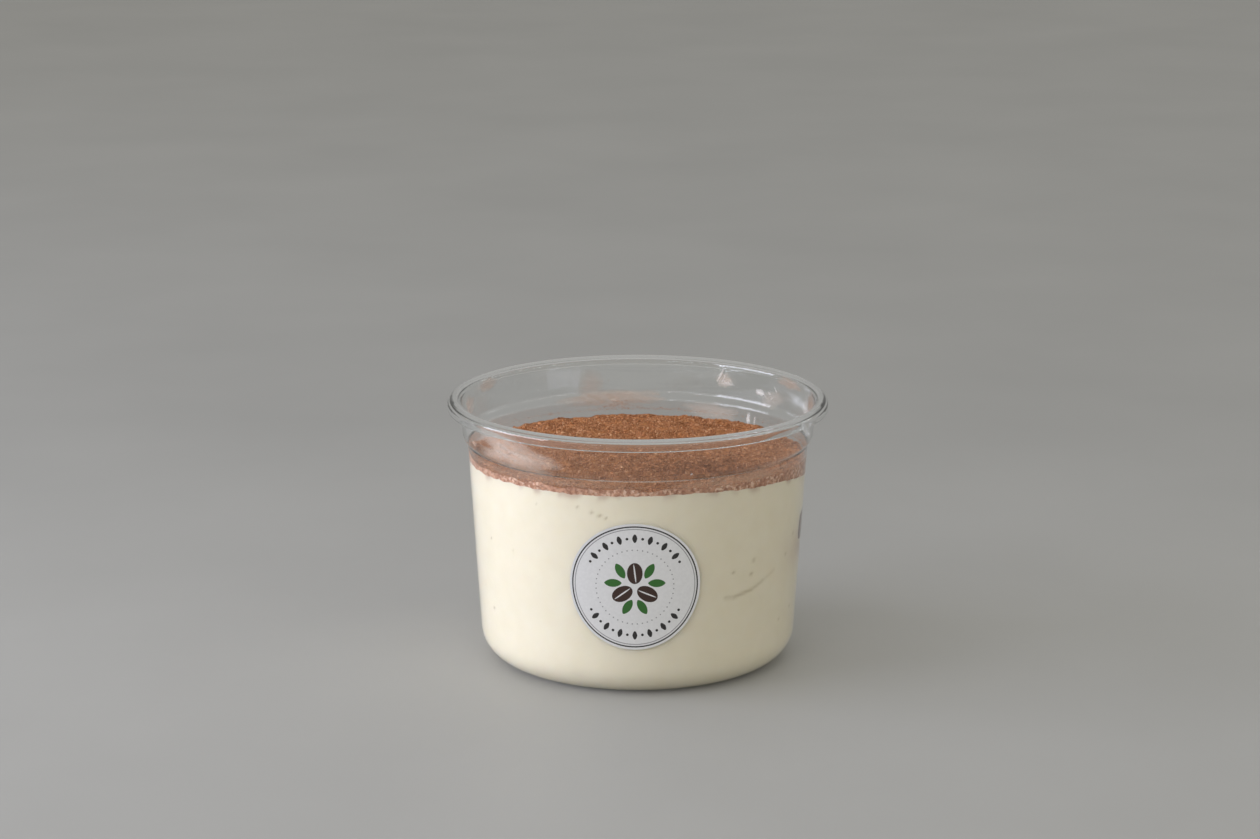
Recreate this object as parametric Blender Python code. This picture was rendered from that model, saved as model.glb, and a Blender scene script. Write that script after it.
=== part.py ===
"""Tiramisu in its clear round tub: a thin plastic shell with a stepped neck and a rolled lip,
pale cream round a soaked sponge finger, a rough layer of cocoa, and a round paper sticker.

The tub stands on the floor with its axis up. The sticker faces -Y, and the sponge finger
lies along X with one end pressed against the wall at +X.
"""

import math

import bmesh
import bpy
from mathutils import Vector, geometry, noise

MM = 0.001

# The tub. Its wall is a straight line from the heel to the step.
RIM_RADIUS = 58.5 * MM
TUB_HEIGHT = 81.9 * MM
SHELL = 0.6 * MM
WALL_LINE_FOOT = 48.2 * MM
HEEL_RADIUS = 9.8 * MM
STEP_FOOT_RADIUS = 52.45 * MM
STEP_FOOT_HEIGHT = 67.6 * MM
STEP_RISE = 3.1 * MM
STEP_REACH = 1.55 * MM
MOUTH_RADIUS = 55.0 * MM
SKIRT_BOTTOM = 78.4 * MM

# The food. Pieces that touch keep this gap.
GAP = 0.3 * MM
CREAM_HEIGHT = 62.5 * MM
CREAM_RISE = 0.9 * MM
CREAM_FALL = 1.9 * MM
CREAM_DIP = 4.2 * MM
CREAM_DIP_AT = math.radians(95)
CREAM_DIP_WIDTH = math.radians(36)
COCOA_HEIGHT = 64.2 * MM
COCOA_TILT = 1.1 * MM
CRAG_HEIGHT = 0.8 * MM
CRAG_SPACING = 4.5 * MM
CLING_HEIGHT = 2.4 * MM
CLING_AT = math.radians(-88)
CLING_WIDTH = math.radians(13)
CLING_REACH = 4 * MM

# The sponge finger.
FINGER_LENGTH = 82 * MM
FINGER_WIDTH = 25 * MM
FINGER_BOTTOM = 38.5 * MM
FINGER_DEPTH = 9.5 * MM
FINGER_ROUNDING = 2.2 * MM
FINGER_PRESS = 3.6 * MM
FINGER_HEADING = math.radians(86)

# The sticker.
STICKER_RADIUS = 19.75 * MM
STICKER_THICKNESS = 0.2 * MM
STICKER_GAP = 0.15 * MM
STICKER_HEIGHT = 35.4 * MM
STICKER_AT = math.radians(-1.1)

# How finely the round pieces are cut.
SIDES = 64
HEEL_STEPS = 5
ROLL_STEPS = 8
COCOA_GRAINS = 760
STICKER_SIDES = 40
STICKER_RINGS = 4

WALL_SLOPE = (STEP_FOOT_RADIUS - WALL_LINE_FOOT) / STEP_FOOT_HEIGHT
HEEL_CENTRE = WALL_LINE_FOOT + WALL_SLOPE * HEEL_RADIUS - HEEL_RADIUS * math.hypot(1, WALL_SLOPE)
FOOD_RADIUS = STEP_FOOT_RADIUS - SHELL - GAP


def wall_radius(height):
    """Outer radius of the tub's plain wall."""
    return WALL_LINE_FOOT + WALL_SLOPE * height


def food_radius(height):
    """Radius of the food where it lies against the wall."""
    return wall_radius(height) - SHELL - GAP


def around(angle, radius, height):
    """A point at this angle from the front, turning towards +X."""
    return Vector((radius * math.sin(angle), -radius * math.cos(angle), height))


def arc(centre, radius, start, end, steps):
    """Points of (radius, height) on an arc between two angles in degrees."""
    points = []
    for step in range(steps + 1):
        angle = math.radians(start + (end - start) * step / steps)
        points.append((centre[0] + radius * math.cos(angle), centre[1] + radius * math.sin(angle)))
    return points


def material(name, colour, roughness, transmission=0.0):
    made = bpy.data.materials.new(name)
    made.use_nodes = True
    made.diffuse_color = (*colour, 1)
    shader = made.node_tree.nodes["Principled BSDF"]
    shader.inputs["Base Color"].default_value = (*colour, 1)
    shader.inputs["Roughness"].default_value = roughness
    shader.inputs["Metallic"].default_value = 0.0
    shader.inputs["Transmission Weight"].default_value = transmission
    return made


def piece(name, points, faces, finish, crease=40):
    """A mesh object, shaded smooth except over its creases."""
    mesh = bpy.data.meshes.new(name)
    mesh.from_pydata(points, [], faces)
    bm = bmesh.new()
    bm.from_mesh(mesh)
    bmesh.ops.recalc_face_normals(bm, faces=bm.faces)
    bm.to_mesh(mesh)
    bm.free()
    mesh.materials.append(finish)
    mesh.shade_smooth()
    mesh.set_sharp_from_angle(angle=math.radians(crease))
    made = bpy.data.objects.new(name, mesh)
    bpy.context.scene.collection.objects.link(made)
    return made


def skin_faces(rings):
    """Faces over a run of rings of point numbers. A ring of one number is a pole."""
    faces = []
    for low, high in zip(rings, rings[1:]):
        for here in range(max(len(low), len(high))):
            after = here + 1
            corners = [
                low[here % len(low)],
                low[after % len(low)],
                high[after % len(high)],
                high[here % len(high)],
            ]
            faces.append(list(dict.fromkeys(corners)))
    return faces


def numbered(rings):
    """All the points of these rings in one list, and the rings as numbers into it."""
    points, numbers = [], []
    for ring in rings:
        numbers.append(list(range(len(points), len(points) + len(ring))))
        points += ring
    return points, numbers


def level_ring(radius, height):
    """A ring of points about the axis, or its pole where the radius is nothing."""
    if radius == 0:
        return [Vector((0, 0, height))]
    return [around(math.tau * side / SIDES, radius, height) for side in range(SIDES)]


def tub_profile():
    """The shell's outline, from the axis out under the base, over the lip and back inside."""
    wall_angle = -math.degrees(math.atan(WALL_SLOPE))
    heel_centre = (HEEL_CENTRE, HEEL_RADIUS)
    roll_radius = (RIM_RADIUS - MOUTH_RADIUS + SHELL) / 2
    roll_centre = (RIM_RADIUS - roll_radius, TUB_HEIGHT - roll_radius)
    step_top = (STEP_FOOT_RADIUS + STEP_REACH, STEP_FOOT_HEIGHT + STEP_RISE)
    outside = [(0, 0)]
    outside += arc(heel_centre, HEEL_RADIUS, -90, wall_angle, HEEL_STEPS)
    outside += [(STEP_FOOT_RADIUS, STEP_FOOT_HEIGHT), step_top]
    under_lip = arc(roll_centre, roll_radius - SHELL, 180, 0, ROLL_STEPS)
    skirt = [(RIM_RADIUS - SHELL, SKIRT_BOTTOM), (RIM_RADIUS, SKIRT_BOTTOM)]
    lip = arc(roll_centre, roll_radius, 0, 180, ROLL_STEPS)
    inside = [
        (step_top[0] - SHELL, step_top[1]),
        (STEP_FOOT_RADIUS - SHELL, STEP_FOOT_HEIGHT),
    ]
    inside += arc(heel_centre, HEEL_RADIUS - SHELL, wall_angle, -90, HEEL_STEPS)
    inside += [(0, SHELL)]
    return outside + under_lip + skirt + lip + inside


def make_tub():
    points, rings = numbered([level_ring(radius, height) for radius, height in tub_profile()])
    finish = material("clear_plastic", (0.93, 0.94, 0.94), 0.06, transmission=1.0)
    return piece("tub", points, skin_faces(rings), finish, crease=25)


def bump(distance, width):
    """A smooth hump, one at its middle."""
    return math.exp(-((distance / width) ** 2))


def cream_level(angle, radius):
    """Height of the cream's top. At the wall it rises in front, falls behind and dips at one side."""
    ripple = 0.25 * MM * math.sin(3 * angle + 1) + 0.15 * MM * math.sin(7 * angle)
    fall = CREAM_FALL * ((1 - math.cos(angle)) / 2) ** 2
    dip = CREAM_DIP * bump(angle % math.tau - CREAM_DIP_AT, CREAM_DIP_WIDTH)
    at_wall = CREAM_RISE + ripple - fall - dip
    return CREAM_HEIGHT + at_wall * (radius / FOOD_RADIUS) ** 2


def cocoa_level(point):
    """Height of the cocoa's rough top, which climbs the wall at one side."""
    radius = math.hypot(point.x, point.y)
    angle = math.atan2(point.x, -point.y)
    crags = CRAG_HEIGHT * noise.noise(Vector((point.x, point.y, 0)) / CRAG_SPACING)
    cling = CLING_HEIGHT * bump(angle - CLING_AT, CLING_WIDTH) * bump(FOOD_RADIUS - radius, CLING_REACH)
    return COCOA_HEIGHT - COCOA_TILT * point.y / FOOD_RADIUS + crags + cling


def food_top_rings(lift):
    """The cream's top from the wall in to the axis, lifted by an amount."""
    rings = []
    for reach in (1, 0.94, 0.7, 0.4):
        ring = []
        for side in range(SIDES):
            angle = math.tau * side / SIDES
            height = cream_level(angle, FOOD_RADIUS * reach) + lift
            ring.append(around(angle, food_radius(height) * reach, height))
        rings.append(ring)
    rings.append([Vector((0, 0, cream_level(0, 0) + lift))])
    return rings


def make_cream(sponge_pocket):
    """The cream fills the tub up to its level, less a pocket for the sponge finger."""
    wall_angle = -math.degrees(math.atan(WALL_SLOPE))
    heel = arc((HEEL_CENTRE, HEEL_RADIUS), HEEL_RADIUS - SHELL - GAP, -90, wall_angle, HEEL_STEPS)
    below = [(0, SHELL + GAP)] + heel + [(food_radius(height * MM), height * MM) for height in (24, 42)]
    rings = [level_ring(radius, height) for radius, height in below] + food_top_rings(0)
    points, numbers = numbered(rings)
    cream = piece("cream", points, skin_faces(numbers), material("cream", (0.85, 0.79, 0.62), 0.45))
    cut = cream.modifiers.new("sponge_pocket", "BOOLEAN")
    cut.operation = "DIFFERENCE"
    cut.object = sponge_pocket
    return cream


def finger_mesh(name, margin, press, finish):
    """A finger with round ends and soft edges, its far end pressed flat against the wall.

    The margin grows it all round. A press of None leaves that end free, past the wall.
    """
    half_width = FINGER_WIDTH / 2 + margin
    run = FINGER_LENGTH / 2 - FINGER_WIDTH / 2
    tip = food_radius(FINGER_BOTTOM) + FINGER_PRESS
    middle = tip - FINGER_LENGTH / 2
    low = FINGER_BOTTOM - margin
    high = FINGER_BOTTOM + FINGER_DEPTH + margin
    rings = []
    for height, inset in (
        (low, FINGER_ROUNDING),
        (low + FINGER_ROUNDING, 0),
        ((low + high) / 2, 0),
        (high - FINGER_ROUNDING, 0),
        (high, FINGER_ROUNDING),
    ):
        outline = arc((run, 0), half_width - inset, -90, 90, 10)
        outline += arc((-run, 0), half_width - inset, 90, 270, 6)
        ring = []
        for along, across in outline:
            radius = math.hypot(middle + along, across)
            angle = FINGER_HEADING + math.atan2(across, middle + along)
            if press is not None:
                radius = min(radius, press(height))
            ring.append(around(angle, radius, height))
        rings.append(ring)
    points, numbers = numbered(rings)
    faces = skin_faces(numbers) + [numbers[0], numbers[-1]]
    return piece(name, points, faces, finish)


def make_sponge():
    finish = material("soaked_sponge", (0.20, 0.10, 0.05), 0.6)
    return finger_mesh("sponge", 0, food_radius, finish)


def make_sponge_pocket():
    finish = material("cutter", (0.5, 0.5, 0.5), 0.5)
    pocket = finger_mesh("sponge_pocket", GAP, None, finish)
    pocket.display_type = "WIRE"
    pocket.hide_render = True
    return pocket


def make_cocoa():
    """A layer between the cream and its own rough top, which is cut into even small faces."""
    under = food_top_rings(GAP)
    rim = []
    for below in under[0]:
        height = cocoa_level(below)
        rim.append(Vector((*(below.xy.normalized() * food_radius(height)), height)))
    inner_radius = FOOD_RADIUS * (1 - 0.7 * math.tau / SIDES)
    golden_turn = math.pi * (3 - math.sqrt(5))
    plan = [point.xy for point in rim]
    for grain in range(COCOA_GRAINS):
        radius = inner_radius * math.sqrt((grain + 0.5) / COCOA_GRAINS)
        plan.append(around(grain * golden_turn, radius, 0).xy)
    edges = [(side, (side + 1) % SIDES) for side in range(SIDES)]
    plan, _, top_faces, *_ = geometry.delaunay_2d_cdt(plan, edges, [], 1, 1e-7)
    top = [Vector((*point, cocoa_level(point))) for point in plan]
    points, numbers = numbered([top, *under])
    faces = [list(face) for face in top_faces]
    faces += skin_faces([list(range(SIDES)), *numbers[1:]])
    return piece("cocoa", points, faces, material("cocoa", (0.30, 0.13, 0.06), 0.9))


def make_sticker():
    """A round sheet bent to the wall: two faces of rings about its middle, joined at the edge."""

    def sheet(lift):
        rings = []
        for ring in range(STICKER_RINGS, 0, -1):
            reach = STICKER_RADIUS * ring / STICKER_RINGS
            points = []
            for side in range(STICKER_SIDES):
                turn = math.tau * side / STICKER_SIDES
                height = STICKER_HEIGHT + reach * math.sin(turn)
                bend = reach * math.cos(turn) / wall_radius(STICKER_HEIGHT)
                points.append(around(STICKER_AT + bend, wall_radius(height) + lift, height))
            rings.append(points)
        rings.append([around(STICKER_AT, wall_radius(STICKER_HEIGHT) + lift, STICKER_HEIGHT)])
        return rings

    back = sheet(STICKER_GAP)
    front = sheet(STICKER_GAP + STICKER_THICKNESS)
    points, numbers = numbered(back[::-1] + front)
    return piece("sticker", points, skin_faces(numbers), material("paper", (0.83, 0.83, 0.84), 0.5))


def main():
    for old in list(bpy.data.objects):
        bpy.data.objects.remove(old, do_unlink=True)
    make_tub()
    make_sponge()
    make_cream(make_sponge_pocket())
    make_cocoa()
    make_sticker()


main()
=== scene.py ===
"""A pot of tiramisu: a clear tub, pale cream, a soaked sponge finger, cocoa and a round sticker.

Sizes are in metres, and MM turns millimetres into them. Angles go round the tub's axis from the
front, which faces -Y, towards +X.
"""

import math

import bmesh
import bpy
import numpy as np
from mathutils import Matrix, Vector, geometry, noise


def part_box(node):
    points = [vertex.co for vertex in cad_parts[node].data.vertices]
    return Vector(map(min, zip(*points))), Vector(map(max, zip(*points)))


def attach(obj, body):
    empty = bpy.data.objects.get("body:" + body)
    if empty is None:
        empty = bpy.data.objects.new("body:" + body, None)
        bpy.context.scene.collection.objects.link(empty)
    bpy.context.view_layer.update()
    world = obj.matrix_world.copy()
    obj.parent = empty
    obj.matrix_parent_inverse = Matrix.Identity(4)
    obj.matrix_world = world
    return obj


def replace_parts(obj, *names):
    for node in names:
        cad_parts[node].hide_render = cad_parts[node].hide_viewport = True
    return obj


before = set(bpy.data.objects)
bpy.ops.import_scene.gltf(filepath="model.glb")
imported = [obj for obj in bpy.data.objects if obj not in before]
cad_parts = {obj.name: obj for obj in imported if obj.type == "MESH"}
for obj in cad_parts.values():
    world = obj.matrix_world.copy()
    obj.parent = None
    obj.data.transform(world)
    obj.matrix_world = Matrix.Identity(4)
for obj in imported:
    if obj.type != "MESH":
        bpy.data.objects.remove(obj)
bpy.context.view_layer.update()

MM = 0.001

# The tub, as its solid has it, but with a slightly thicker and rounder lip.
RIM_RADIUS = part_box("tub")[1].x
TUB_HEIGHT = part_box("tub")[1].z
SHELL = 0.6 * MM
WALL_LINE_FOOT = 48.2 * MM
HEEL_RADIUS = 9.8 * MM
STEP_FOOT_RADIUS = 52.45 * MM
STEP_FOOT_HEIGHT = 67.6 * MM
STEP_TOP_RADIUS = 54.0 * MM
STEP_TOP_HEIGHT = 70.7 * MM
STEP_TUCK = 0.65 * MM
STEP_FOOT_ROUNDING = 1.3 * MM
STEP_TOP_ROUNDING = 2.6 * MM
MOUTH_RADIUS = 55.0 * MM
SKIRT_BOTTOM = 78.4 * MM
SKIRT_THICKNESS = 0.65 * MM
GROOVE_TOP = 80.9 * MM
GROOVE_ROUNDING = 0.8 * MM
EDGE_ROUNDING = 0.28 * MM
WALL_SLOPE = (STEP_FOOT_RADIUS - WALL_LINE_FOOT) / STEP_FOOT_HEIGHT
TUB_SIDES = 256

# The food reaches this far into the wall, so that no air shows between them. Skins that would
# share a surface are kept one layer step apart.
BITE = 0.15 * MM
LAYER_STEP = 0.02 * MM
CREAM_HEIGHT = 62.5 * MM
CREAM_RISE = 0.9 * MM
CREAM_FALL = 1.9 * MM
CREAM_DIP = 4.2 * MM
CREAM_DIP_AT = math.radians(95)
CREAM_DIP_WIDTH = math.radians(36)
COCOA_HEIGHT = 64.2 * MM
COCOA_TILT = 1.1 * MM
CRAG_HEIGHT = 0.8 * MM
CRAG_SPACING = 4.5 * MM
CLING_HEIGHT = 2.4 * MM
CLING_AT = math.radians(-88)
CLING_WIDTH = math.radians(13)
CLING_REACH = 4 * MM
FOOD_GAP = 0.3 * MM
FOOD_RADIUS = STEP_FOOT_RADIUS - SHELL - FOOD_GAP
FOOD_SIDES = 512

# Where the cocoa is darker: one broad patch on its top, squeezed from front to back by this factor,
# and a little more towards the front.
DARK_PATCH = (21 * MM, -26 * MM)
DARK_PATCH_REACH = 20 * MM
DARK_PATCH_SQUEEZE = 1.4
DARK_PATCH_STRENGTH = 0.62
DARK_PATCH_UNEVENNESS = 0.4
DARK_PATCH_SPACING = 7 * MM
DARKER_TOWARDS_FRONT = 0.12

# The sponge finger.
FINGER_LENGTH = 82 * MM
FINGER_WIDTH = 25 * MM
FINGER_BOTTOM = 38.5 * MM
FINGER_DEPTH = 9.5 * MM
FINGER_ROUNDING = 2.2 * MM
FINGER_PRESS = 3.6 * MM
FINGER_HEADING = math.radians(86)

# The sticker.
STICKER_RADIUS = 19.75 * MM
STICKER_THICKNESS = 0.18 * MM
STICKER_HEIGHT = 35.4 * MM
STICKER_AT = math.radians(-1.1)

# The camera, about a metre from the tub.
CAMERA_PLACE = (-2.4 * MM, -971.2 * MM, 312.3 * MM)
CAMERA_PITCH = math.radians(13.78)
CAMERA_LENS = 92.7

# The room's glow, bright in front of the tub and dim behind it.
ROOM_FRONT = (0.815, 0.797, 0.738, 1)
ROOM_BACK = (0.38, 0.376, 0.363, 1)

# Smooth noise stays well within one, and this gain brings it up to about one.
NOISE_GAIN = 1.6
SEED_SHIFT = Vector((17.3, 5.1, 9.7))


def wall_radius(height):
    """Outer radius of the tub's plain wall."""
    return WALL_LINE_FOOT + WALL_SLOPE * height


def inner_radius(height):
    """Inner radius of the tub, over the wall, the step and the neck."""
    heights = [0, STEP_FOOT_HEIGHT + STEP_TUCK, STEP_TOP_HEIGHT - STEP_TUCK, TUB_HEIGHT]
    radii = [WALL_LINE_FOOT, STEP_FOOT_RADIUS, STEP_TOP_RADIUS, MOUTH_RADIUS]
    return np.interp(height, heights, radii) - SHELL


def around(angle, radius, height):
    """Points at these angles from the front, as rows."""
    angle, radius, height = np.broadcast_arrays(angle, radius, height)
    return np.stack([radius * np.sin(angle), -radius * np.cos(angle), height], axis=-1)


def bump(distance, width):
    """A smooth hump, one at its middle."""
    return np.exp(-((distance / width) ** 2))


def turn_between(angle, middle):
    """How far an angle lies from a middle one, the short way round."""
    return (angle - middle + math.pi) % math.tau - math.pi


def rough(points, spacing, seed=0):
    """Smooth noise at each point, about from -1 to 1."""
    shift = SEED_SHIFT * seed
    return np.array([noise.noise(Vector(point) / spacing + shift) for point in points]) * NOISE_GAIN


def pebbly(points, spacing):
    """Rounded lumps packed side by side, 0 in their creases and 1 at their tops."""
    nearest = [noise.voronoi(Vector(point) / spacing)[0][0] for point in points]
    return 1 - np.clip(np.array(nearest), 0, 1)


def rounded(corners, steps):
    """A profile of (radius, height, rounding) corners, with an arc in place of each rounded one."""
    points = []
    for number, (radius, height, rounding) in enumerate(corners):
        here = Vector((radius, height))
        if not rounding:
            points.append(here)
            continue
        before = (Vector(corners[number - 1][:2]) - here).normalized()
        after = (Vector(corners[number + 1][:2]) - here).normalized()
        half = before.angle(after) / 2
        centre = here + (before + after).normalized() * rounding / math.sin(half)
        start = here + before * rounding / math.tan(half) - centre
        sweep = start.angle_signed(here + after * rounding / math.tan(half) - centre)
        for step in range(steps + 1):
            turn = -sweep * step / steps
            cos, sin = math.cos(turn), math.sin(turn)
            turned = Vector((start.x * cos - start.y * sin, start.x * sin + start.y * cos))
            points.append(centre + turned)
    return points


def skin(rings):
    """Points and faces over a run of rings, each an array of points. A ring of one is a pole."""
    faces, first = [], 0
    for low, high in zip(rings, rings[1:]):
        above = first + len(low)
        count = max(len(low), len(high))
        here = np.arange(count)
        after = (here + 1) % count
        if len(low) == 1:
            corners = np.stack([here * 0 + first, above + after, above + here], axis=1)
        elif len(high) == 1:
            corners = np.stack([first + here, first + after, here * 0 + above], axis=1)
        else:
            corners = np.stack([first + here, first + after, above + after, above + here], axis=1)
        faces += corners.tolist()
        first = above
    return np.concatenate(rings), faces


def piece(name, points, faces, materials, crease=None):
    """A mesh that rides with the tub, smooth but for edges sharper than the crease, in degrees."""
    mesh = bpy.data.meshes.new(name)
    mesh.from_pydata(np.asarray(points).tolist(), [], faces)
    bm = bmesh.new()
    bm.from_mesh(mesh)
    bmesh.ops.recalc_face_normals(bm, faces=bm.faces)
    bm.to_mesh(mesh)
    bm.free()
    for finish in materials:
        mesh.materials.append(finish)
    mesh.shade_smooth()
    if crease:
        mesh.set_sharp_from_angle(angle=math.radians(crease))
    made = bpy.data.objects.new(name, mesh)
    bpy.context.scene.collection.objects.link(made)
    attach(made, "root")
    return made


def mark(made, name, values):
    """Keeps one number for each point of the mesh, which a material reads by name."""
    marks = made.data.attributes.new(name, "FLOAT", "POINT")
    marks.data.foreach_set("value", values.astype(np.float32))


# Where a colour mix node keeps its two colours and its result.
FIRST_COLOUR = 6
SECOND_COLOUR = 7
MIXED_COLOUR = 2
STREAK_STRETCH = 6
# A noise node's values lie mostly in this range.
NOISE_RANGE = (0.3, 0.7)


class Finish:
    """A material round one Principled shader, with short calls for the nodes that feed it.

    The colour and roughness that it starts with are its plain ones, for a reader without nodes.
    """

    def __init__(self, name, colour, roughness, **sockets):
        self.material = bpy.data.materials.new(name)
        self.material.use_nodes = True
        self.nodes = self.material.node_tree.nodes
        self.links = self.material.node_tree.links
        self.shader = self.nodes["Principled BSDF"]
        self.shader.inputs["Base Color"].default_value = (*colour, 1)
        self.shader.inputs["Roughness"].default_value = roughness
        for socket, value in sockets.items():
            self.shader.inputs[socket.replace("_", " ")].default_value = value
        self.place = self.node("ShaderNodeTexCoord").outputs["Object"]

    def node(self, kind, **values):
        made = self.nodes.new(kind)
        for key, value in values.items():
            if key in made.inputs:
                self.feed(made.inputs[key], value)
            else:
                setattr(made, key, value)
        return made

    def feed(self, socket, value):
        if isinstance(value, bpy.types.NodeSocket):
            self.links.new(value, socket)
        else:
            socket.default_value = value

    def noise(self, spacing, detail=3.0):
        made = self.node("ShaderNodeTexNoise", Scale=1 / spacing, Detail=detail)
        self.links.new(self.place, made.inputs["Vector"])
        return made.outputs["Fac"]

    def streaks(self, spacing, lean):
        """Noise drawn out sideways, along lines that lean by this angle."""
        turned = self.node("ShaderNodeMapping", vector_type="TEXTURE")
        turned.inputs["Rotation"].default_value = (0, lean, 0)
        turned.inputs["Scale"].default_value = (STREAK_STRETCH, STREAK_STRETCH, 1)
        made = self.node("ShaderNodeTexNoise", Scale=1 / spacing, Detail=3.0)
        self.links.new(self.place, turned.inputs["Vector"])
        self.links.new(turned.outputs["Vector"], made.inputs["Vector"])
        return made.outputs["Fac"]

    def cells(self, spacing):
        made = self.node("ShaderNodeTexVoronoi", Scale=1 / spacing)
        self.links.new(self.place, made.inputs["Vector"])
        return made.outputs["Distance"]

    def attribute(self, name):
        return self.node("ShaderNodeAttribute", attribute_name=name).outputs["Fac"]

    def spread(self, value, low, high, to_low=0.0, to_high=1.0):
        """The range from low to high, drawn out to the second range and kept within it."""
        made = self.node("ShaderNodeMapRange", Value=value)
        ends = {"From Min": low, "From Max": high, "To Min": to_low, "To Max": to_high}
        for socket, number in ends.items():
            made.inputs[socket].default_value = number
        return made.outputs["Result"]

    def times(self, first, second):
        made = self.node("ShaderNodeMath", operation="MULTIPLY")
        self.feed(made.inputs[0], first)
        self.feed(made.inputs[1], second)
        return made.outputs[0]

    def mix(self, factor, first, second):
        made = self.node("ShaderNodeMix", data_type="RGBA")
        self.feed(made.inputs["Factor"], factor)
        for number, colour in ((FIRST_COLOUR, first), (SECOND_COLOUR, second)):
            self.feed(made.inputs[number], (*colour, 1) if isinstance(colour, tuple) else colour)
        return made.outputs[MIXED_COLOUR]

    def colour(self, value):
        self.links.new(value, self.shader.inputs["Base Color"])

    def roughness(self, spacing, least, most):
        """Roughness that wanders between two values, with patches of this spacing."""
        wander = self.spread(self.noise(spacing), *NOISE_RANGE, least, most)
        self.links.new(wander, self.shader.inputs["Roughness"])

    def relief(self, value, depth, strength):
        made = self.node("ShaderNodeBump", Height=value, Distance=depth, Strength=strength)
        self.links.new(made.outputs["Normal"], self.shader.inputs["Normal"])


def clear_plastic():
    """Thin clear plastic, with faint waves from moulding. Lamps shine through it."""
    finish = Finish("clear_plastic", (0.97, 0.98, 0.98), 0.03, Transmission_Weight=1.0, IOR=1.5)
    finish.roughness(9 * MM, 0.008, 0.03)
    finish.relief(finish.noise(5 * MM, detail=1.0), 0.05 * MM, 0.35)
    through = finish.node("ShaderNodeBsdfTransparent")
    through.inputs["Color"].default_value = (0.96, 0.97, 0.97, 1)
    either = finish.node("ShaderNodeMixShader")
    rays = finish.node("ShaderNodeLightPath")
    finish.links.new(rays.outputs["Is Shadow Ray"], either.inputs[0])
    finish.links.new(finish.shader.outputs[0], either.inputs[1])
    finish.links.new(through.outputs[0], either.inputs[2])
    finish.links.new(either.outputs[0], finish.nodes["Material Output"].inputs["Surface"])
    return finish.material


def cream_finish():
    """Soft ivory cream, faintly mottled, with darker flecks and a brown blush where they are marked."""
    finish = Finish("cream", (0.86, 0.80, 0.66), 0.45, Subsurface_Weight=0.2, Specular_IOR_Level=0.3)
    finish.shader.inputs["Subsurface Scale"].default_value = 2 * MM
    finish.shader.inputs["Subsurface Radius"].default_value = (1.0, 0.8, 0.5)
    mottle = finish.spread(finish.noise(6 * MM, detail=4.0), *NOISE_RANGE)
    body = finish.mix(mottle, (0.875, 0.815, 0.665), (0.85, 0.785, 0.625))
    blushed = finish.mix(finish.attribute("blush"), body, (0.42, 0.25, 0.17))
    finish.colour(finish.mix(finish.attribute("fleck"), blushed, (0.40, 0.32, 0.16)))
    finish.roughness(2 * MM, 0.35, 0.55)
    finish.relief(finish.noise(1.2 * MM), 0.05 * MM, 0.3)
    return finish.material


COCOA_SPACING = 0.8 * MM
DARK_COCOA = (0.25, 0.10, 0.045)
MIDDLE_COCOA = (0.46, 0.20, 0.092)
LIGHT_COCOA = (0.68, 0.38, 0.215)
WARM_COCOA = (0.60, 0.265, 0.105)
# The brown that the cocoa darkens to, in a patch on its top and towards the front.
DARKENED_COCOA = (0.20, 0.08, 0.038)


def patched_and_darkened(finish, dry):
    """This brown, warmer in wide patches, and darker in specks where the cocoa is marked as darkened.
    """
    patches = finish.spread(finish.noise(4 * MM), 0.5, 0.7, 0.0, 0.55)
    warmed = finish.mix(patches, dry, WARM_COCOA)
    specks = finish.spread(finish.noise(1.3 * MM, detail=2.0), 0.36, 0.64, 0.3, 1.7)
    return finish.mix(finish.times(finish.attribute("darkened"), specks), warmed, DARKENED_COCOA)


def loose_cocoa():
    """Dry cocoa powder, in grains of three browns."""
    finish = Finish("cocoa", MIDDLE_COCOA, 0.95, Specular_IOR_Level=0.15)
    wide = finish.spread(finish.noise(COCOA_SPACING, detail=2.0), 0.35, 0.6)
    fine = finish.spread(finish.noise(COCOA_SPACING * 0.6, detail=1.0), 0.55, 0.75)
    grains = finish.mix(fine, finish.mix(wide, DARK_COCOA, MIDDLE_COCOA), LIGHT_COCOA)
    finish.colour(patched_and_darkened(finish, grains))
    finish.roughness(COCOA_SPACING, 0.85, 1.0)
    finish.relief(finish.noise(0.35 * MM, detail=4.0), 0.15 * MM, 0.8)
    return finish.material


def grain_finish():
    """Clumps of cocoa, each with its own brown, which its points hold as a shade."""
    finish = Finish("cocoa_clump", (0.30, 0.13, 0.06), 0.95, Specular_IOR_Level=0.15)
    shade = finish.attribute("shade")
    deep = finish.mix(finish.spread(shade, 0.0, 0.7), (0.22, 0.088, 0.039), (0.49, 0.213, 0.097))
    own = finish.mix(finish.spread(shade, 0.75, 1.0), deep, (0.74, 0.44, 0.26))
    dust = finish.spread(finish.noise(0.4 * MM), 0.4, 0.8, 0.0, 0.5)
    finish.colour(patched_and_darkened(finish, finish.mix(dust, own, (0.50, 0.235, 0.112))))
    finish.roughness(0.5 * MM, 0.85, 1.0)
    finish.relief(finish.noise(0.2 * MM), 0.06 * MM, 0.6)
    return finish.material


def pressed_cocoa():
    """Cocoa pressed on the wall: damp brown powder with pale flecks of cream in it."""
    finish = Finish("cocoa_pressed", (0.28, 0.14, 0.09), 0.8, Specular_IOR_Level=0.2)
    mottle = finish.spread(finish.noise(1.2 * MM), 0.38, 0.62)
    brown = finish.mix(mottle, (0.36, 0.17, 0.105), (0.62, 0.35, 0.228))
    pale = finish.spread(finish.noise(1.1 * MM, detail=3.0), 0.49, 0.62)
    finish.colour(finish.mix(finish.times(pale, finish.attribute("creamy")), brown, (0.84, 0.62, 0.47)))
    finish.roughness(1 * MM, 0.7, 0.95)
    finish.relief(finish.noise(0.6 * MM), 0.08 * MM, 0.6)
    return finish.material


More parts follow.
